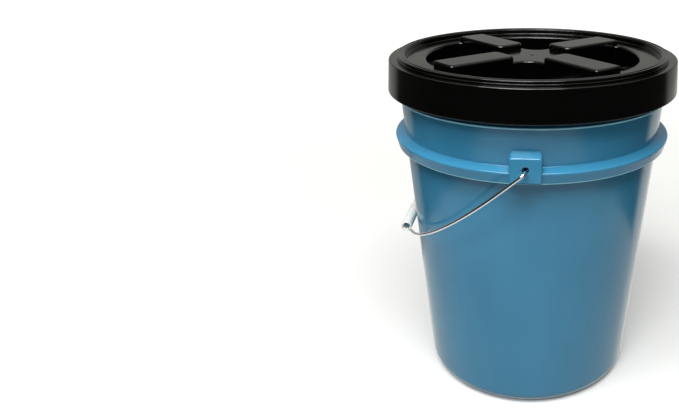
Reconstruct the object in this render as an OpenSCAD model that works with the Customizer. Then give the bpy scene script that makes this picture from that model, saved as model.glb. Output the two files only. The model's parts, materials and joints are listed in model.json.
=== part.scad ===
// A plastic bucket with a screw lid.
// The bucket carries a threaded ring that clips over its rim, a screw lid with a cross handle,
// two seals, a wire bail and a loose grip tube on the bail.
// The bucket's axis is Z, it stands on Z = 0, and the two ears lie on the Y axis.

/* [Pail] */
// Height of the pail from the floor to the top of its rim
pail_h = 385.5; // [384:0.1:385.5]
// Outer radius that the straight wall would have at the floor
base_r = 126; // [125:0.1:126.4]
// Outward lean of the wall, in mm per mm of height
wall_draft = 0.0646; // [0.063:0.0001:0.0650]
// Thickness of the wall
wall_t = 2.3; // [2:0.1:2.6]
// Outer radius of the rounded corner between wall and floor
corner_r = 16; // [10:1:20]
// Depth of the recess under the floor
foot_recess = 1.2; // [0.8:0.1:1.6]
// Radius where the foot ring begins
foot_r = 100; // [80:1:104]
// Radius of the thin ledge just under the threaded ring
ledge_r = 153.2; // [152:0.1:154]
// Height of the underside of that ledge
ledge_z = 350.4; // [350:0.1:352]
// Radius of the bead around the rim
bead_r = 153.6; // [153:0.1:153.7]

/* [Carrying band] */
// Largest radius of the band
band_r = 157; // [156:0.1:157.4]
// Radius of the band's lower edge
band_low_r = 154.4; // [153.5:0.1:155]
// Height of the band's lower edge
band_low_z = 296; // [294:0.5:298]
// Height of the band's outer shoulder
band_shoulder_z = 306.9; // [306:0.1:309]
// Height where the band's sloping top meets the wall
band_top_z = 311.1; // [310:0.1:312]
// Number of gussets under the band
gusset_count = 24; // [24:24:24]

/* [Ears] */
// Width of each ear
ear_w = 32; // [30:1:33]
// Height of an ear's top at its flat face
ear_top_z = 324.3; // [323:0.1:327]
// Slope of an ear's top, which rises towards the wall
ear_slope = 16; // [10:1:20]
// Height of an ear's bottom
ear_low_z = 297.6; // [296:0.1:299]
// Distance from the bucket's axis to an ear's flat face
ear_face = 159.2; // [158.5:0.1:159.6]
// Thickness of an ear's front plate
ear_plate_t = 3; // [2.5:0.1:3.5]
// Radius of the hole in each ear
ear_hole_r = 3.5; // [3:0.1:4]
// Height of the holes, which is the height of the bail's axis
pivot_z = 312; // [311:0.5:313]

/* [Threaded ring] */
// Height of the ring's flat top
ring_top_z = 391.5; // [391.4:0.1:391.6]
// Height of the bottom of the ring's skirt
ring_low_z = 357.5; // [356:0.5:359]
// Outer radius at the bottom of the skirt
ring_low_r = 162; // [161:0.1:163.2]
// Outer radius at the top of the skirt
ring_high_r = 159.2; // [159:0.1:159.4]
// Radius of the rounded edge around the ring's top
ring_edge_r = 1.5; // [1:0.5:5]
// Radius of the ring's mouth
mouth_r = 143.5; // [143.4:0.1:143.6]

/* [Thread] */
// Rise of the lid in one turn
thread_lead = 24; // [24:1:24]
// Number of thread starts
thread_starts = 4; // [4:1:4]
// Arc that each thread ridge covers, in degrees
thread_arc = 170; // [120:10:170]

/* [Screw lid] */
// Height of the lid's rim and of the cross handle's arms
lid_top_z = 396.1; // [396:0.1:396.2]
// Outer radius of the lid
lid_r = 150.5; // [150:0.1:151]
// Height of the flat land inside the rim
land_z = 389.9; // [389.5:0.1:390.2]
// Radius of the round recess in the lid
recess_r = 118; // [117:0.5:119]
// Height of the recess floor
recess_floor_z = 362.2; // [361:0.1:364]
// Width of each arm of the cross handle
arm_w = 36; // [34:1:38]
// Distance from the axis to the outer end of each arm
arm_out = 121; // [120:0.5:122]
// Distance from the axis to the inner end of each arm
arm_in = 36.5; // [36:0.5:44]
// Turn of the cross handle away from the X axis
arm_turn = 41.5; // [0:0.5:90]
// General thickness of the lid
lid_t = 2.2; // [2:0.1:2.4]
// Number of ribs under the land
rib_count = 40; // [24:4:48]
// Radius of the round label under the lid
label_r = 95; // [80:1:98]

/* [Bail] */
// Radius of the bail wire
wire_r = 1.6; // [1.4:0.1:1.8]
// Angle below the horizontal at which the bail hangs
hang_angle = 39.4; // [39.3:0.1:39.6]
// Distance from the pivot axis to the middle of the bail
bail_reach = 185.3; // [185:0.1:186]
// Distance from the bucket's axis to each straight leg of the bail
leg_out = 168.6; // [168.4:0.1:170]
// Radius of the long curve of the bail
bow_r = 150; // [148:1:152]
// Angle that the long curve turns through
bow_angle = 63; // [61:1:64]
// Distance from the pivot axis at which the long curve begins
bow_start = 33; // [32:1:34]

/* [Grip] */
// Length of the grip tube
grip_len = 98; // [90:1:98]
// Outer radius of the grip tube
grip_r = 6.2; // [6:0.1:6.4]
// Radius of the hole through the grip tube
grip_bore_r = 4.4; // [4.3:0.1:4.6]

/* [Hidden] */
$fn = 120;
wire_fn = 32;

// wall and floor of the pail
floor_t = 2.4;
lean = atan(wall_draft);
corner_x = base_r + wall_draft * corner_r - corner_r * sqrt(1 + wall_draft * wall_draft);
corner_steps = 7;
ledge_t = 1.6;
bead_h = 8.5;
bead_soft = 1.2;
band_t = 2.2;
gusset_t = 1.8;
ear_wall_t = 2.5;
ear_corner_r = 3;
ear_root = 142;

// threaded ring
seat_z = 388.8;
ring_wall_t = 2.4;
ring_foot_z = 356;
lock_in_r = 154;
lock_out_r = 156.2;
lock_low_z = 371.6;
hook_r = 152;
skirt_t = 2.5;
mouth_soft = 1;
web_t = 1.6;
web_count = 24;
seal_in_r = 146.6;
seal_out_r = 152.8;

// thread ridges
ridge_root_h = 2.6;
ridge_tip_h = 1.0;
ridge_reach = 1.8;
ridge_bury = 0.7;
ridge_steps = 34;
thread_gap = 0.35;
ring_thread_z = 371;
body_r = 141.2;
ridge_slope = (ridge_root_h - ridge_tip_h) / ridge_reach;
ridge_share = ridge_tip_h + ridge_slope * (body_r + 2 * ridge_reach - mouth_r) / 2;
lid_thread_z = ring_thread_z - ridge_share - thread_gap;

// screw lid
body_low_z = 358;
flange_low_z = 391.8;
rim_in_r = 144.3;
rim_soft = 1;
groove_in_r = 144.7;
groove_out_r = 148.1;
groove_top_z = 394;
step_z = 394.9;
step_in_r = 141.5;
land_out_r = 139.4;
pocket_corner_r = 17.6;
arm_corner_r = 8;
floor_low_z = recess_floor_z - lid_t;
rib_t = 1.8;
rib_low_z = 364;
hub_core = arm_w / 2;
label_t = 0.4;
seal_play = 0.3;
seal_head = 0.1;

// bail wire, whose bends are a hair thinner and run a little way into the straight stretches
bend_trim = 0.01;
bend_bury = 0.2;
bend_r = 6;
kink_r = 12;
head_r = 5.2;
head_in = 151.5;
head_t = 2;
bow_end = [bow_start + bow_r * sin(bow_angle), leg_out - bow_r + bow_r * cos(bow_angle)];
kink_rise = kink_r * (1 - cos(90 - bow_angle));
slant_len = (bail_reach - kink_rise - bow_end.x) / cos(bow_angle);
slant_end = bow_end + slant_len * [cos(bow_angle), -sin(bow_angle)];
kink_centre = slant_end - kink_r * [cos(90 - bow_angle), sin(90 - bow_angle)];

// grip tube
grip_shift = 2.2;
grip_soft = 0.8;
grip_pos = [-bail_reach * cos(hang_angle) - grip_shift, 0, pivot_z - bail_reach * sin(hang_angle)];

// radius of the pail's outer wall at height z
function wall_r(z) = base_r + wall_draft * z;

// points of an arc from angle a0 to angle a1 around the point c
function arc(c, r, a0, a1, n) =
    [for (i = [0:n]) c + r * [cos(a0 + (a1 - a0) * i / n), sin(a0 + (a1 - a0) * i / n)]];

// the pail's outside as one filled solid
module pail_outside() {
    rotate_extrude()
        polygon(concat(
            [[0, foot_recess], [foot_r - 3, foot_recess], [foot_r, 0]],
            arc([corner_x, corner_r], corner_r, -90, -lean, corner_steps),
            [[wall_r(pail_h), pail_h], [0, pail_h]]));
}

// the space inside the pail
module pail_inside() {
    top = pail_h + 1;
    rotate_extrude()
        polygon(concat(
            [[0, foot_recess + floor_t], [foot_r - 3, foot_recess + floor_t], [foot_r, floor_t]],
            arc([corner_x, corner_r], corner_r - floor_t, -90, -lean, corner_steps),
            [[wall_r(top) - wall_t, top], [0, top]]));
}

// the carrying band: a sloping top and a skirt that is open below
module band() {
    root = wall_r(band_top_z) - 1;
    rotate_extrude()
        polygon([
            [root, band_top_z],
            [band_r - 2.4, band_shoulder_z + 1.6],
            [band_r - 0.6, band_shoulder_z + 0.9],
            [band_r, band_shoulder_z],
            [band_low_r, band_low_z],
            [band_low_r - band_t, band_low_z],
            [band_r - band_t, band_shoulder_z - 1.6],
            [root, band_top_z - band_t - 0.6]]);
}

// gussets under the band, none of which meets an ear
module gussets() {
    step = 360 / gusset_count;
    for (i = [0:gusset_count - 1])
        rotate([0, 0, step * (i + 0.5)])
            translate([wall_r(band_low_z) - 1, -gusset_t / 2, band_low_z + 2])
                cube([band_low_r - wall_r(band_low_z), gusset_t, band_shoulder_z - band_low_z - 1]);
}

// outline of an ear seen from outside, with its two top corners rounded and its top at Y = 0
module ear_outline() {
    h = 2 * (ear_top_z - ear_low_z);
    translate([-ear_w / 2, -h])
        square([ear_w, h - ear_corner_r]);
    translate([-ear_w / 2 + ear_corner_r, -h])
        square([ear_w - 2 * ear_corner_r, h]);
    for (side = [-1, 1])
        translate([side * (ear_w / 2 - ear_corner_r), -ear_corner_r])
            circle(r = ear_corner_r);
}

// solid block of the ear on the -Y side: the outline runs along its sloping top and is cut
// flat at the face and at the bottom
module ear_block() {
    depth = ear_face - ear_root;
    intersection() {
        translate([0, -ear_face, ear_top_z])
            rotate([90 + ear_slope, 0, 0])
                translate([0, 0, -2 * depth])
                    linear_extrude(height = 4 * depth)
                        ear_outline();
        translate([-ear_w, -ear_face, ear_low_z])
            cube([2 * ear_w, depth, ear_top_z - ear_low_z + depth]);
    }
}

// hollow behind the ear's front plate, open below, and the hole through the plate
module ear_hollow() {
    inner_w = ear_w - 2 * ear_wall_t;
    inner_face = ear_face - ear_plate_t;
    translate([-inner_w / 2, -inner_face, band_low_z - 1])
        cube([inner_w, inner_face - ear_root, ear_top_z - ear_wall_t - band_low_z + 1]);
    translate([0, -ear_root, pivot_z])
        rotate([90, 0, 0])
            cylinder(r = ear_hole_r, h = ear_face - ear_root + 1, $fn = wire_fn);
}

// thin ledge under the threaded ring
module ledge() {
    rotate_extrude()
        polygon([
            [wall_r(ledge_z) - 1, ledge_z],
            [ledge_r - 0.5, ledge_z],
            [ledge_r, ledge_z + 0.5],
            [ledge_r, ledge_z + ledge_t],
            [wall_r(ledge_z) - 1, ledge_z + ledge_t + 2]]);
}

// bead around the rim, which the ring clips over
module rim_bead() {
    low = pail_h - bead_h;
    rotate_extrude()
        polygon([
            [wall_r(low) - 1, low],
            [bead_r - bead_soft, low],
            [bead_r, low + bead_soft],
            [bead_r, pail_h - 2 * bead_soft],
            [bead_r - bead_soft, pail_h],
            [wall_r(low) - 1, pail_h]]);
}

module pail() {
    color([0.28, 0.52, 0.68])
        difference() {
            union() {
                pail_outside();
                ledge();
                rim_bead();
                difference() {
                    union() {
                        band();
                        gussets();
                        for (turn = [0, 180])
                            rotate([0, 0, turn])
                                ear_block();
                    }
                    for (turn = [0, 180])
                        rotate([0, 0, turn])
                            ear_hollow();
                }
            }
            pail_inside();
        }
}

// one helical ridge. The wall it stands on has radius r, and side is 1 outward or -1 inward
module ridge(r, side, z0, start) {
    root = r - side * ridge_bury;
    tip = r + side * ridge_reach;
    rings = [for (i = [0:ridge_steps])
        let (t = thread_arc * i / ridge_steps, z = z0 + thread_lead * t / 360, a = start + t)
            [for (p = [[root, -ridge_root_h], [tip, -ridge_tip_h], [tip, ridge_tip_h],
                       [root, ridge_root_h]])
                [p[0] * cos(a), p[0] * sin(a), z + p[1] / 2]]];
    last = 4 * ridge_steps;
    sides = [for (i = [0:ridge_steps - 1])
        for (k = [0:3])
            let (n = (k + 1) % 4)
                for (f = [[4 * i + k, 4 * i + n, 4 * i + 4 + n], [4 * i + k, 4 * i + 4 + n, 4 * i + 4 + k]])
                    f];
    ends = [[2, 1, 0], [3, 2, 0], [last, last + 1, last + 2], [last, last + 2, last + 3]];
    faces = concat(sides, ends);
    polyhedron(
        points = [for (ring = rings) for (p = ring) p],
        faces = side > 0 ? faces : [for (f = faces) [f[2], f[1], f[0]]]);
}

// the full set of ridges, evenly spaced around the axis
module ridges(r, side, z0) {
    for (i = [0:thread_starts - 1])
        ridge(r, side, z0, 360 * i / thread_starts);
}

// webs that hold the ring's skirt to its locking collar
module ring_webs() {
    skirt_in = ring_high_r - skirt_t;
    for (i = [0:web_count - 1])
        rotate([0, 0, 360 * i / web_count])
            rotate([90, 0, 0])
                translate([0, 0, -web_t / 2])
                    linear_extrude(height = web_t)
                        polygon([
                            [lock_out_r - 1, lock_low_z + 1],
                            [skirt_in + 3, lock_low_z + 1],
                            [skirt_in + 1, seat_z + 1],
                            [lock_out_r - 1, seat_z + 1]]);
}

module adapter_ring() {
    edge = [ring_high_r - ring_edge_r, ring_top_z - ring_edge_r];
    color([0.05, 0.05, 0.05])
        union() {
            rotate_extrude()
                polygon(concat(
                    [[ring_low_r, ring_low_z]],
                    arc(edge, ring_edge_r, 0, 90, 6),
                    [[mouth_r + mouth_soft, ring_top_z],
                     [mouth_r, ring_top_z - mouth_soft],
                     [mouth_r, ring_foot_z],
                     [mouth_r + ring_wall_t, ring_foot_z],
                     [mouth_r + ring_wall_t, seat_z],
                     [lock_in_r, seat_z],
                     [lock_in_r, lock_low_z + 5],
                     [hook_r, lock_low_z + 4],
                     [hook_r, lock_low_z + 2],
                     [lock_in_r - 0.4, lock_low_z],
                     [lock_out_r, lock_low_z],
                     [lock_out_r, seat_z],
                     [ring_high_r - skirt_t, seat_z],
                     [ring_low_r - skirt_t, ring_low_z]]));
            ring_webs();
            ridges(mouth_r, -1, ring_thread_z);
        }
}

module ring_gasket() {
    color([0.12, 0.12, 0.12])
        rotate_extrude()
            translate([seal_in_r, pail_h])
                square([seal_out_r - seal_in_r, seat_z - pail_h]);
}

// plan of one finger pocket between two arms, for arms along X and Y
module pocket_plan() {
    half = arm_w / 2;
    start = half + pocket_corner_r;
    intersection() {
        circle(r = recess_r);
        union() {
            translate([start, start])
                circle(r = pocket_corner_r);
            translate([start, half])
                square([recess_r, recess_r]);
            translate([half, start])
                square([recess_r, recess_r]);
        }
    }
}

// plan of one arm of the handle along X
module arm_plan() {
    half = arm_w / 2;
    intersection() {
        circle(r = arm_out);
        union() {
            translate([arm_in, arm_corner_r - half])
                square([arm_out, arm_w - 2 * arm_corner_r]);
            translate([arm_in + arm_corner_r, -half])
                square([arm_out, arm_w]);
            for (side = [-1, 1])
                translate([arm_in + arm_corner_r, side * (half - arm_corner_r)])
                    circle(r = arm_corner_r);
        }
    }
}

// rim, land and threaded wall of the lid
module lid_shell() {
    rotate_extrude()
        polygon([
            [recess_r + 1, land_z - lid_t],
            [body_r - lid_t, land_z - lid_t],
            [body_r - lid_t, body_low_z],
            [body_r, body_low_z],
            [body_r, flange_low_z],
            [groove_in_r, flange_low_z],
            [groove_in_r, groove_top_z],
            [groove_out_r, groove_top_z],
            [groove_out_r, flange_low_z],
            [lid_r, flange_low_z],
            [lid_r, lid_top_z - rim_soft],
            [lid_r - rim_soft, lid_top_z],
            [rim_in_r, lid_top_z],
            [rim_in_r - 0.7, step_z],
            [step_in_r, step_z],
            [land_out_r + 0.8, land_z + 0.8],
            [land_out_r, land_z],
            [recess_r + 1, land_z]]);
}

// ribs between the recess wall and the threaded wall
module lid_ribs() {
    for (i = [0:rib_count - 1])
        rotate([0, 0, 360 * (i + 0.5) / rib_count])
            translate([recess_r + 1, -rib_t / 2, rib_low_z])
                cube([body_r - lid_t - recess_r, rib_t, land_z - lid_t - rib_low_z + 1]);
}

// hollow under one arm, open below, with a rib along its middle
module arm_hollow() {
    half_w = (arm_w - rib_t) / 2 - lid_t;
    for (y = [-rib_t / 2 - half_w, rib_t / 2]) {
        translate([hub_core, y, floor_low_z - 1])
            cube([recess_r - lid_t - hub_core, half_w, land_z - lid_t - floor_low_z + 1]);
        translate([arm_in + lid_t, y, floor_low_z - 1])
            cube([recess_r - arm_in - 2 * lid_t, half_w, lid_top_z - lid_t - floor_low_z + 1]);
    }
}

// hollow under the middle of the cross, open below
module hub_hollow() {
    inner_w = arm_w - 2 * lid_t;
    translate([-inner_w / 2, -inner_w / 2, floor_low_z - 1])
        cube([inner_w, inner_w, land_z - lid_t - floor_low_z + 1]);
}

module screw_lid() {
    color([0.04, 0.04, 0.04])
        union() {
            rotate([0, 0, arm_turn])
                difference() {
                    union() {
                        translate([0, 0, floor_low_z])
                            cylinder(r = recess_r + lid_t, h = land_z - floor_low_z);
                        for (turn = [0:90:270])
                            rotate([0, 0, turn])
                                translate([0, 0, land_z - 1])
                                    linear_extrude(height = lid_top_z - land_z + 1)
                                        arm_plan();
                    }
                    for (turn = [0:90:270])
                        rotate([0, 0, turn]) {
                            translate([0, 0, recess_floor_z])
                                linear_extrude(height = lid_top_z - recess_floor_z + 1)
                                    pocket_plan();
                            arm_hollow();
                        }
                    hub_hollow();
                }
            lid_shell();
            lid_ribs();
            ridges(body_r, 1, lid_thread_z);
        }
}

module lid_gasket() {
    color([0.92, 0.92, 0.9])
        rotate_extrude()
            translate([groove_in_r + seal_play, ring_top_z])
                square([groove_out_r - groove_in_r - 2 * seal_play,
                        groove_top_z - ring_top_z - seal_head]);
}

module lid_label() {
    color([0.8, 0.9, 0.82])
        translate([0, 0, floor_low_z - label_t])
            cylinder(r = label_r, h = label_t);
}

// a bend in the bail's plane around the point c, from angle a0 to angle a1
module bend(c, r, a0, a1) {
    bury = bend_bury / r * 180 / PI;
    translate([c.x, c.y, 0])
        rotate([0, 0, a0 - bury])
            rotate_extrude(angle = a1 - a0 + 2 * bury)
                translate([r, 0])
                    circle(r = wire_r - bend_trim, $fn = wire_fn);
}

// a straight stretch in the bail's plane from the point p
module stretch(p, heading, length) {
    translate([p.x, p.y, 0])
        rotate([0, 0, heading])
            rotate([0, 90, 0])
                cylinder(r = wire_r, h = length, $fn = wire_fn);
}

// one side of the bail, with X away from the pivot axis and Y along it
module bail_side() {
    shank_end = leg_out - bend_r;
    translate([0, head_in, 0])
        rotate([-90, 0, 0])
            cylinder(r = head_r, h = head_t, $fn = wire_fn);
    stretch([0, head_in + head_t / 2], 90, shank_end - head_in - head_t / 2);
    bend([bend_r, shank_end], bend_r, 90, 180);
    stretch([bend_r, leg_out], 0, bow_start - bend_r);
    bend([bow_start, leg_out - bow_r], bow_r, 90 - bow_angle, 90);
    stretch(bow_end, -bow_angle, slant_len);
    bend(kink_centre, kink_r, 0, 90 - bow_angle);
}

module bail_wire() {
    color([0.75, 0.75, 0.74])
        translate([0, 0, pivot_z])
            rotate([0, 180 - hang_angle, 0]) {
                bail_side();
                mirror([0, 1, 0])
                    bail_side();
                stretch([bail_reach, -kink_centre.y], 90, 2 * kink_centre.y);
            }
}

module bail_grip() {
    half = grip_len / 2;
    color([0.93, 0.93, 0.91])
        translate(grip_pos)
            rotate([90, 0, 0])
                rotate_extrude($fn = 48)
                    polygon([
                        [grip_bore_r, -half],
                        [grip_r - grip_soft, -half],
                        [grip_r, grip_soft - half],
                        [grip_r, half - grip_soft],
                        [grip_r - grip_soft, half],
                        [grip_bore_r, half]]);
}

pail();
adapter_ring();
ring_gasket();
screw_lid();
lid_gasket();
lid_label();
bail_wire();
bail_grip();
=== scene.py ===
import json
import math

import bmesh
import bpy
from mathutils import Matrix, Vector


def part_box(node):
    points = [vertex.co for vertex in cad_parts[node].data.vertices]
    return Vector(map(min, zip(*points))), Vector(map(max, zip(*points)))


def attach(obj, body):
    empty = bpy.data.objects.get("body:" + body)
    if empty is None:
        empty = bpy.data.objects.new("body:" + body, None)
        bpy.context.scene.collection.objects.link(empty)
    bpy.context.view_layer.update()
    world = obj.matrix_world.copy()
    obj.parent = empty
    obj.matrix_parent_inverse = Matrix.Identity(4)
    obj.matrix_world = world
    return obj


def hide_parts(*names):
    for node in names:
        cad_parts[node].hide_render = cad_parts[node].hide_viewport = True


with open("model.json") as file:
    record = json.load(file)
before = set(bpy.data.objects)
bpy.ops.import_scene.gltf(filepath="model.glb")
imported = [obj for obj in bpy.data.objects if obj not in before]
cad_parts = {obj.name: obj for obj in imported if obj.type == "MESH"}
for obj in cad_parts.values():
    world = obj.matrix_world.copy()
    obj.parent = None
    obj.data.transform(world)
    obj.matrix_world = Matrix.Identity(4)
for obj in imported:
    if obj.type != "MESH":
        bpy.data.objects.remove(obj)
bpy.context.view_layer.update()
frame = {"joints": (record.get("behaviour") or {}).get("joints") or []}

# A plastic bucket with a threaded ring, a screw lid, a wire bail and a grip tube.
# Shapes are written in millimetres and scaled to metres as each mesh is made.

MM = 0.001
ROUND = 256          # segments around the big turned pieces
FLOOR_SIZE = 12.0    # side of the floor, in metres
CREASE = math.radians(38)    # edges sharper than this stay sharp


# ---------------------------------------------------------------- frame sizes

def span(node, axis):
    """Lowest and highest coordinate of a CAD node along one axis, in mm."""
    low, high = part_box(node)
    return low[axis] / MM, high[axis] / MM


def joint(name):
    return next(j for j in frame["joints"] if j["name"] == name)


PAIL_TOP = span("pail", 2)[1]
BAND_R = span("pail", 0)[1]
EAR_FACE = span("pail", 1)[1]
RING_LOW, RING_TOP = span("adapter_ring", 2)
RING_R = span("adapter_ring", 0)[1]
LID_LOW, LID_TOP = span("screw_lid", 2)
LID_R = span("screw_lid", 0)[1]
RING_SEAL_LOW, RING_SEAL_TOP = span("ring_gasket", 2)
RING_SEAL_R = span("ring_gasket", 0)[1]
LID_SEAL_LOW, LID_SEAL_TOP = span("lid_gasket", 2)
LID_SEAL_R = span("lid_gasket", 0)[1]
LABEL_LOW, LABEL_TOP = span("lid_label", 2)
LABEL_R = span("lid_label", 0)[1]
GRIP_HALF = span("bail_grip", 1)[1]
GRIP_R = (span("bail_grip", 0)[1] - span("bail_grip", 0)[0]) / 2
PIVOT = Vector(joint("bail_swing")["pos_m"]) / MM
GRIP_AXIS = Vector(joint("grip_spin")["pos_m"]) / MM

BASE_R = 126.0       # the straight wall's radius at the floor
DRAFT = 0.0646       # outward lean of the wall, as a slope
WALL_T = 2.3
FOOT_R = 100.0       # inner edge of the flat foot
FOOT_IN = 97.0       # edge of the recess inside the foot
FOOT_RECESS = 1.2
FLOOR_T = 2.4
BAND_LOW = 296.0
BAND_SHOULDER = 306.9
BAND_HEM_R = 154.4   # outer radius at the bottom of the band
LEDGE = 350.4        # underside of the thin ledge below the ring
LEDGE_T = 1.6
LEDGE_R = 153.2
LEDGE_END = 355.0    # where the ledge's top slope meets the wall
BEAD_LOW = 377.0     # underside of the pail's rim bead
BEAD_R = 153.6
EAR_LOW = 297.6
EAR_TOP = 324.3      # at the ear's face
EAR_SLOPE = math.tan(math.radians(16))
EAR_W = 32.0
EAR_HOLE_R = 3.5
GUSSETS = 24
WEBS = 24
MOUTH_R = 143.5
SKIRT_LOW = 357.5    # bottom of the ring's skirt
SKIRT_TOP_R = 159.2
SKIRT_T = 2.5
SEAT = 388.8         # underside of the ring's top plate
LAND = 389.9         # flat land of the lid
RECESS_R = 118.0
RECESS_FLOOR = 362.2
ARM_W = 36.0
ARM_IN = 36.5
ARM_OUT = 121.0
ARM_TURN = math.radians(41.5)
BODY_R = 141.2       # threaded wall of the lid
LID_SKIN = 2.2       # wall thickness of the lid
LID_RIBS = 40
THREAD_STARTS = 4
LEAD = 24.0          # rise of the thread in one turn
THREAD_ARC = math.radians(170)
RING_THREAD = 371.0  # where the ring's ridges start
LID_THREAD = 369.07  # where the lid's ridges start


def wall_r(z):
    """Radius of the pail's outer wall at height z."""
    return BASE_R + DRAFT * z


# ---------------------------------------------------------------- outlines

def arc(centre, radius, start, end, steps):
    """Points of an arc, angles in radians."""
    turns = [start + (end - start) * i / steps for i in range(steps + 1)]
    return [Vector((centre[0] + radius * math.cos(a), centre[1] + radius * math.sin(a)))
            for a in turns]


def fillet(corners, steps=5):
    """Closed outline from (x, y, radius) corners, each rounded by an arc."""
    points = []
    for i, (x, y, radius) in enumerate(corners):
        here = Vector((x, y))
        if not radius:
            points.append(here)
            continue
        back = (Vector(corners[i - 1][:2]) - here).normalized()
        on = (Vector(corners[(i + 1) % len(corners)][:2]) - here).normalized()
        half = back.angle(on) / 2
        centre = here + (back + on).normalized() * radius / math.sin(half)
        start = here + back * radius / math.tan(half) - centre
        end = here + on * radius / math.tan(half) - centre
        first = math.atan2(start.y, start.x)
        sweep = math.atan2(end.y, end.x) - first
        sweep = (sweep + math.pi) % (2 * math.pi) - math.pi
        points += arc(centre, radius, first, first + sweep, steps)
    return points


def grown(outline, distance):
    """A closed anticlockwise outline moved outward by a distance."""
    moved = []
    for i, here in enumerate(outline):
        back = (here - outline[i - 1]).normalized()
        on = (outline[(i + 1) % len(outline)] - here).normalized()
        along = (back + on).normalized()
        moved.append(here + Vector((along.y, -along.x)) * distance)
    return moved


# ---------------------------------------------------------------- meshes

def mesh_object(name, bm):
    """A finished object from a bmesh in millimetres, with outward normals."""
    bmesh.ops.recalc_face_normals(bm, faces=bm.faces)
    bmesh.ops.scale(bm, vec=(MM, MM, MM), verts=bm.verts)
    mesh = bpy.data.meshes.new(name)
    bm.to_mesh(mesh)
    bm.free()
    obj = bpy.data.objects.new(name, mesh)
    bpy.context.scene.collection.objects.link(obj)
    return obj


def ring_faces(bm, a, b):
    """Faces between two closed loops of vertices, or between a loop and a pole."""
    n = max(len(a), len(b))
    for i in range(n):
        k = (i + 1) % n
        corners = [a[i % len(a)], a[k % len(a)], b[k % len(b)], b[i % len(b)]]
        unique = list(dict.fromkeys(corners))
        if len(unique) > 2:
            bm.faces.new(unique)


def lathe_into(bm, outline, segments, place=Matrix.Identity(4)):
    """Turns a closed (radius, height) outline about Z and adds it to a bmesh."""
    loops = []
    for p in outline:
        count = segments if p.x > 1e-6 else 1
        turns = [2 * math.pi * i / segments for i in range(count)]
        loops.append([bm.verts.new(place @ Vector((p.x * math.cos(a), p.x * math.sin(a), p.y)))
                      for a in turns])
    for i, loop in enumerate(loops):
        after = loops[(i + 1) % len(loops)]
        if len(loop) > 1 or len(after) > 1:
            ring_faces(bm, loop, after)


def lathe(name, outline, segments=ROUND, place=Matrix.Identity(4)):
    bm = bmesh.new()
    lathe_into(bm, outline, segments, place)
    return mesh_object(name, bm)


def prism_into(bm, outline, levels, place=Matrix.Identity(4)):
    """Lofts an outline through (growth, height) levels and caps both ends."""
    loops = []
    for growth, height in levels:
        loops.append([bm.verts.new(place @ Vector((p.x, p.y, height)))
                      for p in grown(outline, growth)])
    for low, high in zip(loops, loops[1:]):
        ring_faces(bm, low, high)
    bm.faces.new(loops[0])
    bm.faces.new(loops[-1])


def prisms(name, outline, levels, places):
    """The same prism at several places, as one object."""
    bm = bmesh.new()
    for place in places:
        prism_into(bm, outline, levels, place)
    return mesh_object(name, bm)


def turned(angle):
    return Matrix.Rotation(angle, 4, "Z")


def combine(base, other, operation):
    """Applies a boolean to base and removes the other object."""
    modifier = base.modifiers.new("cut", "BOOLEAN")
    modifier.operation = operation
    modifier.solver = "MANIFOLD"
    modifier.object = other
    depsgraph = bpy.context.evaluated_depsgraph_get()
    result = bpy.data.meshes.new_from_object(base.evaluated_get(depsgraph), depsgraph=depsgraph)
    if not result.polygons:
        raise RuntimeError(f"{operation} of {base.name} and {other.name} left nothing")
    base.modifiers.clear()
    base.data = result
    bpy.data.objects.remove(other)
    return base


def smooth(obj):
    """Smooth shading that keeps the real corners sharp and the flat faces flat."""
    bm = bmesh.new()
    bm.from_mesh(obj.data)
    bmesh.ops.remove_doubles(bm, verts=bm.verts, dist=2e-6)
    bmesh.ops.dissolve_degenerate(bm, edges=bm.edges, dist=1e-6)
    bm.to_mesh(obj.data)
    bm.free()
    obj.data.shade_smooth()
    obj.data.set_sharp_from_angle(angle=CREASE)
    weighted = obj.modifiers.new("flat_faces", "WEIGHTED_NORMAL")
    weighted.keep_sharp = True
    weighted.weight = 80
    return obj


def thread(wall, side, base_z):
    """Helical ridges on a wall, one for each start. side is 1 outward or -1 inward."""
    reach, bury, steps = 1.8, 0.8, 60
    root, flank, crest = 1.3, 0.62, 0.4      # half heights of a ridge, from the wall outward
    section = [(-bury, -root), (0, -root), (reach - 0.3, -flank), (reach, -crest),
               (reach, crest), (reach - 0.3, flank), (0, root), (-bury, root)]
    bm = bmesh.new()
    for start in range(THREAD_STARTS):
        loops = []
        for i in range(steps + 1):
            share = i / steps
            run_in = min(1, 8 * share, 8 * (1 - share))
            grow = math.sin(run_in * math.pi / 2)
            turn = THREAD_ARC * share
            z = base_z + LEAD * turn / (2 * math.pi)
            loop = []
            for out, up in section:
                r = wall + side * (out if out < 0 else out * grow + 0.02)
                a = turn + 2 * math.pi * start / THREAD_STARTS
                tall = 0.35 + 0.65 * grow
                loop.append(bm.verts.new((r * math.cos(a), r * math.sin(a), z + up * tall)))
            loops.append(loop)
        for a, b in zip(loops, loops[1:]):
            ring_faces(bm, a, b)
        bm.faces.new(loops[0])
        bm.faces.new(loops[-1])
    return mesh_object("ridges", bm)


def boxes(name, cells):
    """Box bodies given as (low corner, high corner, placing matrix)."""
    bm = bmesh.new()
    for low, high, place in cells:
        made = bmesh.ops.create_cube(bm, size=1)["verts"]
        for v in made:
            v.co = place @ Vector([low[k] + (v.co[k] + 0.5) * (high[k] - low[k])
                                   for k in range(3)])
    return mesh_object(name, bm)


# ---------------------------------------------------------------- pail

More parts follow.
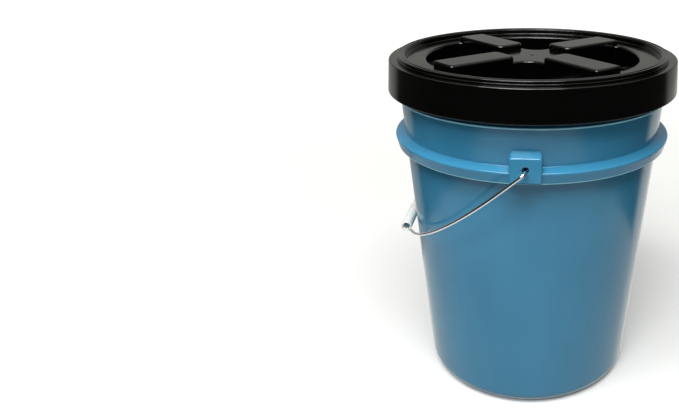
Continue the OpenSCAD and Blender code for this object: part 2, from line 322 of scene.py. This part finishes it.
def build_pail():
    """The moulded pail: wall, foot, ledge, rim bead, carrying band and ears."""
    inside = wall_r(PAIL_TOP) - WALL_T
    wall = lathe("pail_body", fillet([
        (0, FOOT_RECESS, 0), (FOOT_IN, FOOT_RECESS, 0.6), (FOOT_R, 0, 0.6),
        (BASE_R, 0, 16), (wall_r(LEDGE), LEDGE, 0.8), (LEDGE_R, LEDGE, 0.5),
        (LEDGE_R, LEDGE + LEDGE_T, 0.5), (wall_r(LEDGE_END), LEDGE_END, 1.2),
        (wall_r(BEAD_LOW), BEAD_LOW, 0.5), (BEAD_R, BEAD_LOW, 1.2), (BEAD_R, PAIL_TOP, 1.8),
        (inside, PAIL_TOP, 0.8), (BASE_R - WALL_T, FLOOR_T, 13.6), (FOOT_R, FLOOR_T, 0.6),
        (FOOT_IN, FLOOR_T + FOOT_RECESS, 0.6), (0, FLOOR_T + FOOT_RECESS, 0)]))

    top_slope = 0.147                        # fall of the band's top, outward
    shoulder_r = BAND_R + 0.3                # before the shoulder is rounded
    shoulder_z = BAND_SHOULDER + 1.2
    root = wall_r(310) - 1.1                 # inside the pail's wall
    band_top, band_foot, proud = 313.5, 311.3, 0.02
    skirt = 2.2
    roof = shoulder_z - 2.6
    band = lathe("band", fillet([
        (root, band_top, 0), (wall_r(band_top) + proud, band_top, 0),
        (wall_r(band_foot) + proud, band_foot, 1.3),
        (shoulder_r, shoulder_z, 2.0), (BAND_HEM_R, BAND_LOW, 0.8), (BAND_HEM_R - skirt, BAND_LOW, 0.7),
        (shoulder_r - skirt, roof, 0.8),
        (root, roof + top_slope * (shoulder_r - skirt - root), 0)]))

    gap = 2 * math.pi / GUSSETS
    low = (wall_r(BAND_LOW) - 1, -0.9, BAND_LOW + 2)
    high = (153.4, 0.9, BAND_SHOULDER - 0.5)
    gussets = boxes("gussets", [(low, high, turned(gap * (i + 0.5))) for i in range(GUSSETS)])
    band = combine(band, gussets, "UNION")

    corner, half = 3.2, EAR_W / 2
    face = fillet([(-half, EAR_LOW, 0.8), (half, EAR_LOW, 0.8),
                   (half, EAR_TOP, corner), (-half, EAR_TOP, corner)], 6)
    soft, buried, hollow_in = 1.5, 142, 141  # the last two are distances from the axis
    levels = [(0, buried), (0, EAR_FACE - soft)]
    levels += [(soft * math.cos(a) - soft, EAR_FACE - soft + soft * math.sin(a))
               for a in [math.pi / 2 * i / 6 for i in range(1, 7)]]
    outward = Matrix(((1, 0, 0, 0), (0, 0, -1, 0), (0, 1, 0, 0), (0, 0, 0, 1)))
    places = [turned(t) @ outward for t in (0, math.pi)]
    bm = bmesh.new()
    for place in places:
        prism_into(bm, face, levels, place)
    for v in bm.verts:
        if v.co.z > EAR_TOP - 2 * corner:
            v.co.z += (EAR_FACE - abs(v.co.y)) * EAR_SLOPE
    band = combine(band, mesh_object("ears", bm), "UNION")

    side = half - 2.5
    inner = fillet([(-side, BAND_LOW - 3, 0), (side, BAND_LOW - 3, 0),
                    (side, EAR_TOP - 2.5, 2), (-side, EAR_TOP - 2.5, 2)], 4)
    hollows = prisms("ear_hollows", inner, [(0, hollow_in), (0, EAR_FACE - 3)], places)
    band = combine(band, hollows, "DIFFERENCE")

    start, mouth = 150, EAR_HOLE_R + 1.1     # the hole flares at the ear's face
    bore = [Vector((0, start)), Vector((EAR_HOLE_R, start)), Vector((EAR_HOLE_R, EAR_FACE - 0.7)),
            Vector((EAR_HOLE_R + 0.35, EAR_FACE - 0.3)), Vector((mouth, EAR_FACE + 0.1)),
            Vector((mouth, EAR_FACE + 2)), Vector((0, EAR_FACE + 2))]
    bm = bmesh.new()
    for place in places:
        lathe_into(bm, bore, 48, place @ Matrix.Translation((0, PIVOT.z, 0)))
    band = combine(band, mesh_object("ear_holes", bm), "DIFFERENCE")
    return smooth(combine(wall, band, "UNION"))


# ---------------------------------------------------------------- threaded ring and its seal

def build_ring():
    """The threaded ring: skirt, seat, locking collar with its hook, and thread."""
    wall_out = MOUTH_R + 2.4
    collar_in, collar_out, collar_low = 154, 156.2, 371.6
    hook_r, hook_low, hook_high = 152, 373.6, 375.6
    body = lathe("threaded_ring", fillet([
        (RING_R, SKIRT_LOW, 0.9), (SKIRT_TOP_R, RING_TOP, 1.5), (MOUTH_R, RING_TOP, 1.0),
        (MOUTH_R, RING_LOW, 0.6), (wall_out, RING_LOW, 0.6), (wall_out, SEAT, 0.3),
        (collar_in, SEAT, 0.3), (collar_in, hook_high + 1, 0.4), (hook_r, hook_high, 0.4),
        (hook_r, hook_low, 0.4), (153.6, collar_low, 0.3), (collar_out, collar_low, 0.4),
        (collar_out, SEAT, 0.2), (SKIRT_TOP_R - SKIRT_T, SEAT, 0.2), (RING_R - SKIRT_T, SKIRT_LOW, 0.5)]))
    body = combine(body, thread(MOUTH_R, -1, RING_THREAD), "UNION")
    low, high = (collar_out - 0.8, -0.8, collar_low + 1), (158.6, 0.8, SEAT + 0.8)
    webs = boxes("webs", [(low, high, turned(2 * math.pi * i / WEBS)) for i in range(WEBS)])
    return smooth(combine(body, webs, "UNION"))


def build_ring_seal():
    """The flat rubber seal between the ring and the pail's rim."""
    inner = RING_SEAL_R - 6.2
    return smooth(lathe("ring_seal", fillet([
        (inner, RING_SEAL_LOW, 0.8), (RING_SEAL_R, RING_SEAL_LOW, 0.8),
        (RING_SEAL_R, RING_SEAL_TOP, 0.8), (inner, RING_SEAL_TOP, 0.8)])))


# ---------------------------------------------------------------- screw lid and its seal

def build_lid():
    """The screw lid: rim, land, recessed cross handle, ribs and thread."""
    skin = LID_SKIN
    under = RECESS_FLOOR - skin
    recess_out, body_in, ceiling = RECESS_R + skin, BODY_R - skin, LAND - skin
    rim_low, lip_top = 391.8, 392.6                            # the thin lip under the rim
    groove_in, groove_out, groove_top = 144.7, 148.1, 394      # the seal's groove
    dip, step = LID_TOP - 0.6, 394.9     # the groove between the rim's beads, the step down to the land
    body = lathe("lid_body", fillet([
        (0, under, 0), (recess_out, under, 1.5), (recess_out, ceiling, 1.2),
        (body_in, ceiling, 1.2), (body_in, LID_LOW, 0.5), (BODY_R, LID_LOW, 0.8),
        (BODY_R, rim_low, 0.5), (groove_in, rim_low, 0.4), (groove_in, groove_top, 0.3),
        (groove_out, groove_top, 0.3), (groove_out, rim_low, 0.4),
        (LID_R, rim_low, 0.5), (LID_R, lip_top, 0.3), (LID_R - 0.5, lip_top + 0.4, 0.3),
        (LID_R - 0.4, LID_TOP, 1.1), (147.9, LID_TOP, 0.7), (147.2, dip, 0.5), (145.9, dip, 0.5),
        (145.2, LID_TOP, 0.7), (143.2, LID_TOP, 0.8), (142.9, step, 0.4), (141.5, step, 0.6),
        (141.0, LAND, 1.0), (0, LAND, 0)]))

    start = ARM_W / 2
    reach = math.sqrt(RECESS_R ** 2 - start ** 2)
    curve = arc((0, 0), RECESS_R, math.radians(12.5), math.radians(77.5), 40)
    pocket = fillet([(start, start, 17.6), (reach, start, 5)] + [(p.x, p.y, 0) for p in curve]
                    + [(start, reach, 5)], 10)
    edge, foot, lean = 2.6, 4.5, 0.4
    levels = [(-lean - foot + foot * math.sin(a), RECESS_FLOOR + foot - foot * math.cos(a))
              for a in [math.pi / 2 * i / 6 for i in range(7)]]
    levels += [(edge - edge * math.cos(a), LAND - edge + edge * math.sin(a))
               for a in [math.radians(85) * i / 6 for i in range(7)]]
    levels += [(levels[-1][0], LID_TOP + 3)]
    quarter = [turned(ARM_TURN + math.pi / 2 * i) for i in range(4)]
    body = combine(body, prisms("pockets", pocket, levels, quarter), "DIFFERENCE")

    half = ARM_W / 2 + 0.05
    end = arc((0, 0), ARM_OUT, math.radians(-6), math.radians(6), 6)
    tip = math.sqrt(ARM_OUT ** 2 - half ** 2)
    arm = fillet([(ARM_IN, -half, 8), (tip, -half, 3.5)] + [(p.x, p.y, 0) for p in end]
                 + [(tip, half, 3.5), (ARM_IN, half, 8)], 8)
    top = 3.0
    levels = [(0, under + 0.5), (0, LID_TOP - top)]
    levels += [(top * math.cos(a) - top, LID_TOP - top + top * math.sin(a))
               for a in [math.pi / 2 * i / 7 for i in range(1, 8)]]
    body = combine(body, prisms("arms", arm, levels, quarter), "UNION")

    body = combine(body, lathe("gate_mark", [
        Vector((0, LAND - 1.0)), Vector((1.2, LAND - 0.9)), Vector((2.6, LAND - 0.1)),
        Vector((3.4, LAND + 0.3)), Vector((3.4, LAND + 2)), Vector((0, LAND + 2))], 32), "DIFFERENCE")

    rib, core = 0.9, ARM_W / 2 - skin    # half a rib's thickness, half a hollow's width
    outer = RECESS_R - skin
    for inner, roof in ((ARM_W / 2, ceiling), (ARM_IN + skin, LID_TOP - skin)):
        cell = fillet([(inner, rib, 1.2), (outer, rib, 1.2), (outer, core, 1.2), (inner, core, 1.2)], 4)
        levels = [(0, under - 2), (0, roof - 1), (-0.3, roof - 0.3), (-1, roof)]
        mirrored = Matrix.Scale(-1, 4, (0, 1, 0))
        places = quarter + [m @ mirrored for m in quarter]
        body = combine(body, prisms("hollows", cell, levels, places), "DIFFERENCE")
    cell = fillet([(-core, -core, 1.2), (core, -core, 1.2), (core, core, 1.2), (-core, core, 1.2)], 4)
    hub = prisms("hub_hollow", cell, [(0, under - 2), (0, ceiling)], quarter[:1])
    body = combine(body, hub, "DIFFERENCE")

    low, high = (RECESS_R + 1, -rib, 364), (BODY_R - 1.4, rib, LAND - 1)
    gap = 2 * math.pi / LID_RIBS
    ribs = boxes("ribs", [(low, high, turned(gap * (i + 0.5))) for i in range(LID_RIBS)])
    body = combine(body, ribs, "UNION")
    return smooth(combine(body, thread(BODY_R, 1, LID_THREAD), "UNION"))


def build_lid_seal():
    """The white seal in the lid's groove."""
    inner = LID_SEAL_R - 2.8
    return smooth(lathe("lid_seal_band", fillet([
        (inner, LID_SEAL_LOW, 0.5), (LID_SEAL_R, LID_SEAL_LOW, 0.5),
        (LID_SEAL_R, LID_SEAL_TOP, 0.5), (inner, LID_SEAL_TOP, 0.5)])))


def build_label():
    """The printed disc under the lid."""
    outline = fillet([(0, LABEL_LOW, 0), (LABEL_R, LABEL_LOW, 0.12),
                      (LABEL_R, LABEL_TOP, 0.12), (0, LABEL_TOP, 0)], 3)
    return smooth(lathe("round_label", outline, 192))


# ---------------------------------------------------------------- bail and grip

WIRE_R = 1.6
HANG = math.radians(39.4)        # how far below level the bail hangs
REACH = 185.3                    # from the pivot axis to the grip
LEG_OUT = 168.6                  # half width across the legs
BOW_R, BOW_ANGLE, BOW_START = 150.0, math.radians(63), 33.0
BEND_R, KINK_R = 6.0, 12.0       # bends at the ear and at the grip
HEAD_IN = 151.5                  # inner face of the head inside the ear
HEAD_R = 5.2
GRIP_BORE_R = 4.4


def half_path():
    """Centre line of one side of the bail: x away from the pivot axis, y along it."""
    shank = LEG_OUT - BEND_R
    right = math.pi / 2
    bow_centre = Vector((BOW_START, LEG_OUT - BOW_R))
    bow = arc(bow_centre, BOW_R, right, right - BOW_ANGLE, 40)
    rise = KINK_R * (1 - math.cos(right - BOW_ANGLE))
    slant = (REACH - rise - bow[-1].x) / math.cos(BOW_ANGLE)
    slant_end = bow[-1] + slant * Vector((math.cos(BOW_ANGLE), -math.sin(BOW_ANGLE)))
    lean = right - BOW_ANGLE
    kink_centre = slant_end - KINK_R * Vector((math.cos(lean), math.sin(lean)))
    points = [Vector((0, HEAD_IN + 1)), Vector((0, HEAD_IN + 4.5))]
    points += arc((BEND_R, shank), BEND_R, math.pi, right, 10)
    points += bow + arc(kink_centre, KINK_R, lean, 0, 8)
    return points


def sweep_into(bm, path, radius, sides):
    """A round bar along a path that lies in one plane, with closed ends."""
    up = Vector((0, 0, 1))
    loops = []
    for i, p in enumerate(path):
        heading = (path[min(i + 1, len(path) - 1)] - path[max(i - 1, 0)]).normalized()
        side = heading.cross(up).normalized()
        turns = [2 * math.pi * k / sides for k in range(sides)]
        loops.append([bm.verts.new(p + radius * (side * math.cos(a) + up * math.sin(a)))
                      for a in turns])
    for a, b in zip(loops, loops[1:]):
        ring_faces(bm, a, b)
    bm.faces.new(loops[0])
    bm.faces.new(loops[-1])


def build_wire():
    """The bent wire with a flattened head at each end, hung from its pivot."""
    half = [Vector((p.x, p.y, 0)) for p in half_path()]
    path = half + [Vector((p.x, -p.y, 0)) for p in reversed(half)]
    bm = bmesh.new()
    sweep_into(bm, path, WIRE_R, 28)
    wire = mesh_object("bail_rod", bm)
    head = fillet([(0, HEAD_IN, 0), (HEAD_R, HEAD_IN, 0.8), (HEAD_R, HEAD_IN + 2, 0.6),
                   (2.4, HEAD_IN + 2.4, 0.8), (1.2, HEAD_IN + 3.5, 0), (0, HEAD_IN + 3.5, 0)], 4)
    bm = bmesh.new()
    for side in (-1, 1):
        lathe_into(bm, head, 40, Matrix.Rotation(side * math.pi / 2, 4, "X"))
    wire = combine(wire, mesh_object("heads", bm), "UNION")
    hang = Matrix.Translation(PIVOT * MM) @ Matrix.Rotation(math.pi - HANG, 4, "Y")
    wire.data.transform(hang)
    return smooth(wire)


def build_grip():
    """The loose tube on the wire."""
    place = Matrix.Translation(GRIP_AXIS) @ Matrix.Rotation(math.pi / 2, 4, "X")
    outline = fillet([(GRIP_BORE_R, -GRIP_HALF, 0.5), (GRIP_R, -GRIP_HALF, 0.8),
                      (GRIP_R, GRIP_HALF, 0.8), (GRIP_BORE_R, GRIP_HALF, 0.5)])
    return smooth(lathe("grip_tube", outline, 96, place))


# ---------------------------------------------------------------- materials

class Shader:
    """A node tree with one Principled shader, and short calls to add to it."""

    def __init__(self, name):
        self.material = bpy.data.materials.new(name)
        self.material.use_nodes = True
        self.tree = self.material.node_tree
        self.surface = self.tree.nodes["Principled BSDF"]
        self.place = self.tree.nodes.new("ShaderNodeTexCoord").outputs["Object"]

    def node(self, kind, inputs=None, **settings):
        made = self.tree.nodes.new(kind)
        for key, value in settings.items():
            setattr(made, key, value)
        for key, value in (inputs or {}).items():
            if isinstance(value, bpy.types.NodeSocket):
                self.tree.links.new(value, made.inputs[key])
            else:
                made.inputs[key].default_value = value
        return made

    def stretched(self, scale):
        return self.node("ShaderNodeMapping", {"Vector": self.place, "Scale": scale}).outputs["Vector"]

    def noise(self, scale, detail=3.0, rough=0.55, stretch=None):
        vector = self.stretched(stretch) if stretch else self.place
        made = self.node("ShaderNodeTexNoise", {"Vector": vector, "Scale": scale, "Detail": detail,
                                                "Roughness": rough})
        return made.outputs["Fac"]

    def mapped(self, value, low, high, to_low=0.0, to_high=1.0, smooth=False):
        made = self.node("ShaderNodeMapRange", {"Value": value, "From Min": low, "From Max": high,
                                                "To Min": to_low, "To Max": to_high},
                         interpolation_type="SMOOTHSTEP" if smooth else "LINEAR")
        return made.outputs["Result"]

    def maths(self, operation, a, b=0.0):
        return self.node("ShaderNodeMath", {0: a, 1: b}, operation=operation).outputs[0]

    def mix(self, share, a, b):
        made = self.node("ShaderNodeMix", data_type="RGBA")
        for index, value in ((0, share), (6, a), (7, b)):
            if isinstance(value, bpy.types.NodeSocket):
                self.tree.links.new(value, made.inputs[index])
            else:
                made.inputs[index].default_value = value
        return made.outputs[2]

    def heights(self):
        """Height and distance from the Z axis, both in metres."""
        parts = self.node("ShaderNodeSeparateXYZ", {"Vector": self.place})
        flat = self.node("ShaderNodeVectorMath", {0: self.place, 1: (1, 1, 0)}, operation="MULTIPLY")
        away = self.node("ShaderNodeVectorMath", {0: flat.outputs[0]}, operation="LENGTH").outputs["Value"]
        return parts.outputs["Z"], away

    def painted_edge_highlight(self, edges):
        """Mask of painted highlight lines along thin rims, each given in mm as (lowest height, highest
        height, smallest radius).
        """
        height, away = self.heights()
        mask = 0.0
        for low, high, inner in edges:
            above = self.mapped(height, (low - 0.2) * MM, (low + 0.2) * MM)
            below = self.mapped(height, (high - 0.2) * MM, (high + 0.2) * MM, 1.0, 0.0)
            outside = self.mapped(away, (inner - 0.3) * MM, (inner + 0.3) * MM)
            rim = self.maths("MULTIPLY", self.maths("MULTIPLY", above, below), outside)
            mask = self.maths("MAXIMUM", mask, rim)
        return mask

    def bump(self, height, strength, distance, under=None):
        inputs = {"Height": height, "Strength": strength, "Distance": distance}
        if under is not None:
            inputs["Normal"] = under
        return self.node("ShaderNodeBump", inputs).outputs["Normal"]

    def wire(self, socket, value):
        """Links a socket to a surface input, or sets a constant on it."""
        if isinstance(value, bpy.types.NodeSocket):
            self.tree.links.new(value, self.surface.inputs[socket])
        else:
            self.surface.inputs[socket].default_value = value


def moulded_plastic(name, colour, light_colour, roughness, grain, subsurface=0.0, edges=(),
                    highlight_colour=None):
    """Glossy plastic: cloudy colour, flow streaks, fine grain, drag marks and pale painted highlight lines
    along thin edges.
    """
    s = Shader(name)
    cloud = s.noise(9.0, 4.0)
    streak = s.noise(30.0, 2.0, stretch=(1.0, 1.0, 0.12))
    blend = s.maths("ADD", s.maths("MULTIPLY", cloud, 0.7), s.maths("MULTIPLY", streak, 0.3))
    tone = s.mapped(blend, 0.35, 0.65)
    base = s.mix(tone, colour, light_colour)
    # Painted highlight: thin lower rims get a pale colour where light would catch them.
    if edges:
        base = s.mix(s.painted_edge_highlight(edges), base, highlight_colour)
    s.wire("Base Color", base)
    drag = s.mapped(s.noise(620.0, 2.0, stretch=(1.0, 1.0, 0.03)), 0.56, 0.72)
    patch = s.mapped(s.noise(13.0, 3.0), 0.45, 0.65, smooth=True)
    worn = s.maths("MULTIPLY", drag, patch)
    smear = s.mapped(s.noise(24.0, 5.0, 0.65), 0.35, 0.7, roughness - 0.03, roughness + 0.05)
    s.wire("Roughness", s.maths("ADD", smear, s.maths("MULTIPLY", worn, 0.12)))
    s.wire("IOR", 1.45)
    waves = s.bump(s.noise(32.0, 1.0), 0.12, 0.0010)
    fine = s.bump(s.noise(1500.0, 2.0), grain, 0.00010, waves)
    s.wire("Normal", s.bump(worn, -0.06, 0.00005, fine))
    if subsurface:
        s.wire("Subsurface Weight", subsurface)
        s.wire("Subsurface Radius", (0.4, 0.9, 1.4))
        s.wire("Subsurface Scale", 0.003)
    return s.material


def rubber(name, colour, light_colour):
    """Matt rubber with a fine grain."""
    s = Shader(name)
    tone = s.mapped(s.noise(60.0, 4.0), 0.3, 0.7)
    s.wire("Base Color", s.mix(tone, colour, light_colour))
    s.wire("Roughness", s.mapped(s.noise(240.0, 3.0), 0.3, 0.7, 0.55, 0.75))
    s.wire("Normal", s.bump(s.noise(2200.0, 2.0), 0.35, 0.0001))
    return s.material


def zinc_wire():
    """Bright zinc plate on drawn steel: faint spangle, smooth with a few dull spots."""
    s = Shader("zinc_plate")
    spangle = s.mapped(s.noise(420.0, 3.0), 0.35, 0.65)
    s.wire("Base Color", s.mix(spangle, (0.76, 0.78, 0.81, 1), (0.86, 0.88, 0.91, 1)))
    s.wire("Metallic", 1.0)
    s.wire("Roughness", s.mapped(s.noise(160.0, 4.0), 0.3, 0.72, 0.05, 0.13))
    s.wire("Normal", s.bump(s.noise(900.0, 2.0), 0.04, 0.00004))
    return s.material


def label_paper():
    """Printed paper disc: green border, pale middle, three round badges, rule lines and a leaf."""
    soft = 0.004         # softness of a printed edge, as a share of the disc's radius
    s = Shader("printed_label")
    parts = s.node("ShaderNodeSeparateXYZ", {"Vector": s.place})
    x = s.maths("DIVIDE", parts.outputs["X"], LABEL_R * MM)
    y = s.maths("DIVIDE", parts.outputs["Y"], LABEL_R * MM)

    def away(cx, cy):
        across, up = s.maths("SUBTRACT", x, cx), s.maths("SUBTRACT", y, cy)
        squares = s.maths("ADD", s.maths("MULTIPLY", across, across), s.maths("MULTIPLY", up, up))
        return s.maths("SQRT", squares)

    def inside(value, limit):
        return s.mapped(value, limit - soft, limit + soft, 1.0, 0.0)

    def strip(value, centre, half):
        return inside(s.maths("ABSOLUTE", s.maths("SUBTRACT", value, centre)), half)

    def both(a, b):
        return s.maths("MULTIPLY", a, b)

    ink = 0.0
    badge_r, ring_t = 0.135, 0.012
    for cx, cy in ((-0.42, 0.36), (0.0, 0.50), (0.42, 0.36)):
        radius = away(cx, cy)
        rim = s.maths("SUBTRACT", inside(radius, badge_r), inside(radius, badge_r - ring_t))
        bars = both(strip(x, cx, 0.012), strip(y, cy, 0.06))
        dot = inside(away(cx, cy + 0.03), 0.038)
        ink = s.maths("MAXIMUM", ink, s.maths("MAXIMUM", rim, s.maths("MAXIMUM", bars, dot)))
    for cy, half in ((0.13, 0.50), (-0.02, 0.58), (-0.30, 0.48), (-0.40, 0.44), (-0.50, 0.36)):
        ink = s.maths("MAXIMUM", ink, both(strip(y, cy, 0.006), strip(x, 0.0, half)))
    leaf = both(inside(away(-0.05, -0.16), 0.10), inside(away(0.05, -0.16), 0.10))

    fibre = s.mapped(s.noise(700.0, 4.0), 0.35, 0.65)
    pale = s.mix(fibre, (0.70, 0.80, 0.69, 1), (0.76, 0.85, 0.75, 1))
    green = s.mix(fibre, (0.10, 0.36, 0.02, 1), (0.13, 0.41, 0.03, 1))
    printed = s.mix(s.maths("MULTIPLY", ink, 0.8), pale, (0.03, 0.05, 0.04, 1))
    border = s.mapped(away(0.0, 0.0), 0.872, 0.878)
    s.wire("Base Color", s.mix(s.maths("MAXIMUM", border, leaf), printed, green))
    s.wire("Roughness", s.mapped(s.noise(90.0, 3.0), 0.3, 0.7, 0.34, 0.46))
    s.wire("Normal", s.bump(s.noise(1200.0, 3.0), 0.15, 0.00008))
    s.wire("Coat Weight", 0.25)
    s.wire("Coat Roughness", 0.2)
    return s.material


def paint(obj, material):
    obj.data.materials.clear()
    obj.data.materials.append(material)


# ---------------------------------------------------------------- assembly

# Bands of painted highlight along the lower rims of the ledge, the band and the ears, in mm as (lowest
# height, highest height, smallest radius).
PAINTED_EDGE_HIGHLIGHTS = ((LEDGE - 0.4, LEDGE + LEDGE_T + 0.2, LEDGE_R - 0.9),
              (BAND_LOW - 0.4, BAND_LOW + 0.9, BAND_HEM_R - 1.4),
              (EAR_LOW - 0.4, EAR_LOW + 0.6, EAR_FACE - 2.0))
# The blue's pale edge colour is a painted highlight on the rims listed above.
BLUE = moulded_plastic("blue_polyethylene", (0.034, 0.200, 0.342, 1), (0.042, 0.226, 0.384, 1),
                       roughness=0.11, grain=0.10, subsurface=0.12,
                       edges=PAINTED_EDGE_HIGHLIGHTS, highlight_colour=(0.36, 0.80, 0.96, 1))
BLACK = moulded_plastic("black_polypropylene", (0.0006, 0.0006, 0.0005, 1), (0.0010, 0.0010, 0.0009, 1),
                        roughness=0.12, grain=0.12)
NATURAL = moulded_plastic("natural_polyethylene", (0.80, 0.81, 0.80, 1), (0.86, 0.87, 0.86, 1),
                          roughness=0.26, grain=0.15, subsurface=0.8)
BLACK_RUBBER = rubber("black_rubber", (0.010, 0.010, 0.010, 1), (0.018, 0.018, 0.018, 1))
WHITE_RUBBER = rubber("white_rubber", (0.74, 0.73, 0.69, 1), (0.80, 0.79, 0.76, 1))

for build, body, node, slot, material in (
        (build_pail, "root", "pail", "pail", BLUE),
        (build_ring, "root", "adapter_ring", "ring", BLACK),
        (build_ring_seal, "root", "ring_gasket", "ring_seal", BLACK_RUBBER),
        (build_lid, "lid", "screw_lid", "lid", BLACK),
        (build_lid_seal, "lid_seal", "lid_gasket", "lid_seal", WHITE_RUBBER),
        (build_label, "lid", "lid_label", "label", label_paper()),
        (build_wire, "bail", "bail_wire", "wire", zinc_wire()),
        (build_grip, "grip", "bail_grip", "grip", NATURAL)):
    piece = build()
    paint(piece, material)
    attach(piece, body)
    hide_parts(node)


# ---------------------------------------------------------------- stage, light and camera

def floor():
    """A pale floor that is white in the distance and clear from below."""
    bm = bmesh.new()
    bmesh.ops.create_grid(bm, x_segments=8, y_segments=8, size=FLOOR_SIZE / 2)
    mesh = bpy.data.meshes.new("floor")
    bm.to_mesh(mesh)
    bm.free()
    made = bpy.data.objects.new("floor", mesh)
    bpy.context.scene.collection.objects.link(made)
    s = Shader("pale_floor")
    seen = s.node("ShaderNodeLightPath").outputs["Is Camera Ray"]
    pale = s.mix(s.noise(3.0, 3.0), (0.66, 0.66, 0.655, 1), (0.69, 0.69, 0.685, 1))
    s.wire("Base Color", s.mix(seen, (0.36, 0.36, 0.36, 1), pale))
    far = s.heights()[1]
    s.wire("Emission Color", (1, 1, 0.99, 1))
    s.wire("Emission Strength", s.maths("MULTIPLY", seen, s.mapped(far, 0.2, 2.4, 0.08, 0.75, smooth=True)))
    s.wire("Roughness", 0.9)
    s.wire("Specular IOR Level", 0.1)
    paint(made, s.material)
    under = s.node("ShaderNodeNewGeometry").outputs["Backfacing"]
    clear = s.node("ShaderNodeBsdfTransparent").outputs[0]
    one_sided = s.node("ShaderNodeMixShader", {0: under, 1: s.surface.outputs[0], 2: clear}).outputs[0]
    s.tree.links.new(one_sided, s.tree.nodes["Material Output"].inputs["Surface"])
    made.visible_glossy = False


def studio_world():
    """A pale wall behind, a soft ceiling above, a dim room and a white card in front."""
    world = bpy.data.worlds.new("studio")
    bpy.context.scene.world = world
    world.use_nodes = True
    tree = world.node_tree
    tree.nodes.clear()
    new, link = tree.nodes.new, tree.links.new
    place = new("ShaderNodeTexCoord").outputs["Generated"]
    parts = new("ShaderNodeSeparateXYZ")
    link(place, parts.inputs[0])

    def maths(operation, a, b=0.0):
        made = new("ShaderNodeMath")
        made.operation = operation
        for i, value in enumerate((a, b)):
            if isinstance(value, bpy.types.NodeSocket):
                link(value, made.inputs[i])
            else:
                made.inputs[i].default_value = value
        return made.outputs[0]

    def step(value, low, high, top=1.0):
        made = new("ShaderNodeMapRange")
        made.interpolation_type = "SMOOTHSTEP"
        link(value, made.inputs["Value"])
        made.inputs["From Min"].default_value = low
        made.inputs["From Max"].default_value = high
        made.inputs["To Max"].default_value = top
        return made.outputs["Result"]

    wall_light, room_light = 0.36, 0.035
    x, y, z = parts.outputs
    down = maths("SUBTRACT", 0.0, z)
    flat = maths("SQRT", maths("ADD", maths("MULTIPLY", x, x), maths("MULTIPLY", y, y)))
    behind = maths("DIVIDE", y, maths("MAXIMUM", flat, 0.001))
    front = maths("SUBTRACT", 0.0, behind)
    back_half = step(behind, 0.52, 0.70)
    low_wall = maths("MULTIPLY", step(down, 0.17, 0.27), maths("ADD", 0.12, step(x, -0.25, 0.35, 0.45)))
    wall = maths("MULTIPLY", back_half, maths("SUBTRACT", wall_light, step(z, 0.30, 0.50, 0.26)))
    sweep = maths("ADD", wall, maths("MULTIPLY", low_wall, back_half))
    ceiling = step(z, 0.50, 0.85, 0.8)
    widening = maths("MULTIPLY", maths("MAXIMUM", maths("SUBTRACT", down, 0.465), 0.0), 45.0)
    lower = maths("MULTIPLY", maths("SUBTRACT", down, 0.42), 5.0)
    spread = maths("ADD", maths("ADD", front, lower), widening)    # the card is wider lower down
    card = maths("MULTIPLY", step(down, 0.20, 0.26), step(spread, 0.73, 0.77, 0.85))
    table = step(down, 0.80, 0.92, 0.8)
    light = room_light
    for zone in (sweep, ceiling, card, table):
        light = maths("MAXIMUM", zone, light)
    lit = new("ShaderNodeBackground")
    link(light, lit.inputs["Strength"])
    lit.inputs["Color"].default_value = (1.0, 1.0, 0.94, 1)
    seen = new("ShaderNodeBackground")
    seen.inputs["Color"].default_value = (1, 1, 1, 1)
    choose = new("ShaderNodeMixShader")
    link(new("ShaderNodeLightPath").outputs["Is Camera Ray"], choose.inputs[0])
    link(lit.outputs[0], choose.inputs[1])
    link(seen.outputs[0], choose.inputs[2])
    link(choose.outputs[0], new("ShaderNodeOutputWorld").inputs["Surface"])


def soft_light(name, place, aim, size, power):
    """A white rectangular area light that the camera doesn't see."""
    data = bpy.data.lights.new(name, "AREA")
    data.shape = "RECTANGLE"
    data.size, data.size_y = size
    data.energy = power
    made = bpy.data.objects.new(name, data)
    made.location = place
    made.rotation_euler = (Vector(aim) - Vector(place)).to_track_quat("-Z", "Y").to_euler()
    made.visible_camera = False
    bpy.context.scene.collection.objects.link(made)


def camera():
    """The photograph's angle: a little above the rim, looking down at the lid."""
    data = bpy.data.cameras.new("camera")
    data.sensor_width = 36
    data.lens = 34.16
    data.shift_x = -0.2436
    made = bpy.data.objects.new("camera", data)
    made.location = (0.0212, -0.7307, 0.5347)
    made.rotation_euler = (math.radians(65.35), 0, math.radians(4.06))
    bpy.context.scene.collection.objects.link(made)
    bpy.context.scene.camera = made


floor()
studio_world()
soft_light("overhead", (-0.15, -0.9, 2.3), (0, -0.1, 0.35), (1.9, 0.6), 57)
soft_light("front_key", (-0.35, -1.55, 1.95), (0, 0, 0.3), (0.9, 0.6), 25)
camera()
bpy.context.scene.view_settings.view_transform = "Standard"
